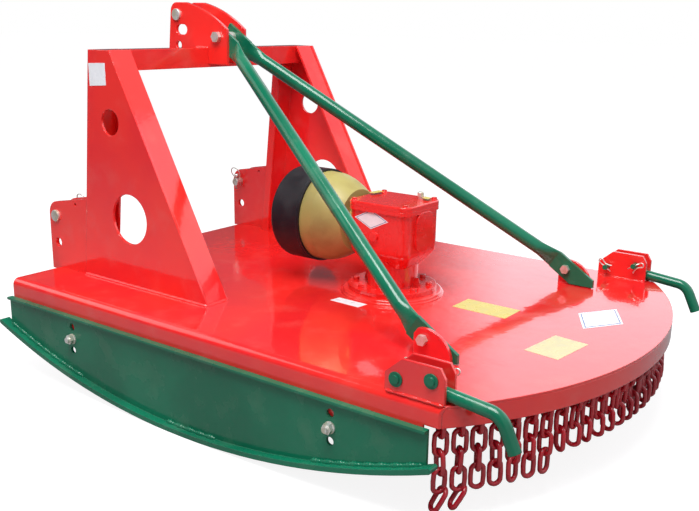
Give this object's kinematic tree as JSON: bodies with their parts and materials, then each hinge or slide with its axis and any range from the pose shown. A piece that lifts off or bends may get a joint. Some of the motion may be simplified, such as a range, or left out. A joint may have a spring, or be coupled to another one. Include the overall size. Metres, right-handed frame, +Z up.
{
  "type": "rotary brush mower",
  "caption": "Rotary brush mower for a tractor's rear linkage: flat deck with arched headstock, gearbox with shaft guard, curved skids, chain curtain and swinging blades.",
  "frame": {"origin": "on the ground under the middle of the machine's bounding box", "axes": "+Y forward to the tractor, +X to the machine's right, +Z up"},
  "size_m": [1.31, 1.761, 1.0929],
  "materials": {
    "red_paint": "gloss",
    "green_paint": "gloss",
    "gearbox_paint": "satin",
    "chain_paint": "satin",
    "guard_plastic": "satin",
    "rim_rubber": "matt",
    "zinc": "satin",
    "bare_steel": "machined",
    "blade_steel": "worn"
  },
  "bodies": {
    "frame": {"deck_plate": "red_paint", "front_bar": "red_paint", "rear_band": "red_paint", "chain_rail": "red_paint", "chain_curtain_left": "chain_paint", "chain_curtain_middle": "chain_paint", "chain_curtain_right": "chain_paint", "headstock_left": "red_paint", "headstock_right": "red_paint", "cross_beam": "red_paint", "top_link_plate_left": "red_paint", "top_link_plate_right": "red_paint", "top_link_pin": "zinc", "hitch_lugs_left": "red_paint", "hitch_lugs_right": "red_paint", "lower_hitch_pin_left": "zinc", "lower_hitch_pin_right": "zinc", "brace_left": "green_paint", "brace_right": "green_paint", "brace_top_bolt": "zinc", "brace_ear_left": "red_paint", "brace_ear_right": "red_paint", "ear_bolt_left": "zinc", "ear_bolt_right": "zinc", "rear_bracket_left": "red_paint", "rear_bracket_right": "red_paint", "bracket_pins_left": "green_paint", "bracket_pins_right": "green_paint", "bent_bar_left": "green_paint", "bent_bar_right": "green_paint", "skid_left": "green_paint", "skid_right": "green_paint", "skid_bolts_left": "zinc", "skid_bolts_right": "zinc", "gearbox_ring": "red_paint", "gearbox_housing": "gearbox_paint", "gearbox_cover": "gearbox_paint", "flange_bolts": "zinc", "breather_plug": "zinc", "pto_guard": "guard_plastic", "pto_guard_rim": "rim_rubber"},
    "input_drive": {"input_shaft": "bare_steel"},
    "rotor": {"rotor_shaft": "bare_steel", "rotor_carrier": "red_paint", "blade_bolts": "bare_steel"},
    "left_blade": {"blade_left": "blade_steel"},
    "right_blade": {"blade_right": "blade_steel"}
  },
  "joints": [
    {"name": "rotor_spin", "type": "hinge", "parent": "frame", "child": "rotor", "pos_m": [0, -0.1095, 0.2], "axis": [0, 0, 1], "continuous": true},
    {"name": "input_spin", "type": "hinge", "parent": "frame", "child": "input_drive", "pos_m": [0, 0.0705, 0.474], "axis": [0, 1, 0], "continuous": true},
    {"name": "blade_left_swing", "type": "hinge", "parent": "rotor", "child": "left_blade", "pos_m": [-0.35, -0.1095, 0.084], "axis": [0, 0, 1], "continuous": true},
    {"name": "blade_right_swing", "type": "hinge", "parent": "rotor", "child": "right_blade", "pos_m": [0.35, -0.1095, 0.084], "axis": [0, 0, 1], "continuous": true}
  ],
  "couplings": [
    {"joint": "input_spin", "follows": "rotor_spin", "ratio": 0.5217}
  ]
}
